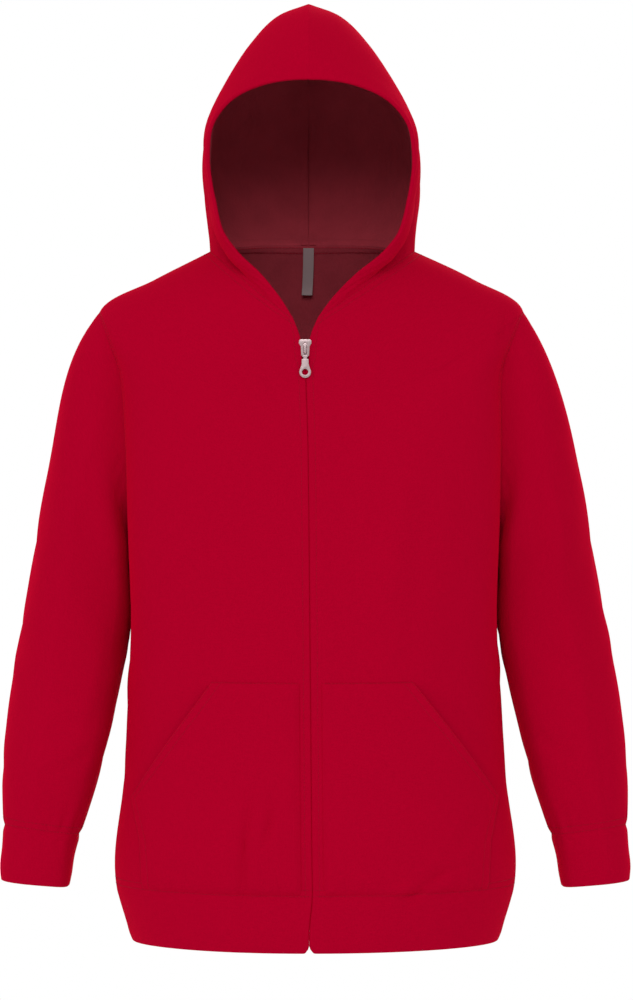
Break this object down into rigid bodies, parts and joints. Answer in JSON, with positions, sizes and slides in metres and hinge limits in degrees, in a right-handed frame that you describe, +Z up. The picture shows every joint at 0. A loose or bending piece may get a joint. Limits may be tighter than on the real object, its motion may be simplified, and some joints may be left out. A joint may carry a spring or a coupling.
{
  "type": "kids hoodie",
  "caption": "Child's zip-front hooded sweatshirt in plain red fleece, filled out as worn with the hood up, with patch pockets and plain cuffs and waistband.",
  "frame": {"origin": "midway between the two high points of the shoulders, where the neck seam meets the shoulder seams and the wearer carries the garment", "axes": "+X to the wearer's left, -Y to the front, +Z up through the hood"},
  "size_m": [0.5669, 0.2377, 0.8447],
  "materials": {
    "red_fleece": "matt brushed-back fleece",
    "red_zip_tape": "woven polyester tape",
    "red_zip_coil": "satin nylon coil",
    "plated_zinc": "satin nickel-plated zinc",
    "grey_label": "woven tape, bare"
  },
  "bodies": {
    "hoodie": {"back": "red_fleece", "cuff_left": "red_fleece", "cuff_right": "red_fleece", "front_left": "red_fleece", "front_right": "red_fleece", "hood_left": "red_fleece", "hood_right": "red_fleece", "neck_label": "grey_label", "pocket_left": "red_fleece", "pocket_right": "red_fleece", "sleeve_left": "red_fleece", "sleeve_right": "red_fleece", "waistband": "red_fleece", "zip_chain": "red_zip_coil", "zip_slider": "plated_zinc", "zip_stop": "plated_zinc", "zip_tape_left": "red_zip_tape", "zip_tape_right": "red_zip_tape"},
    "pull_tab": {"zip_pull": "plated_zinc"}
  },
  "joints": [
    {"name": "pull_swing", "type": "hinge", "parent": "hoodie", "child": "pull_tab", "pos_m": [-0.00594, -0.09788, -0.0866], "axis": [-1, 0, 0], "range_deg": [0, 150]}
  ]
}
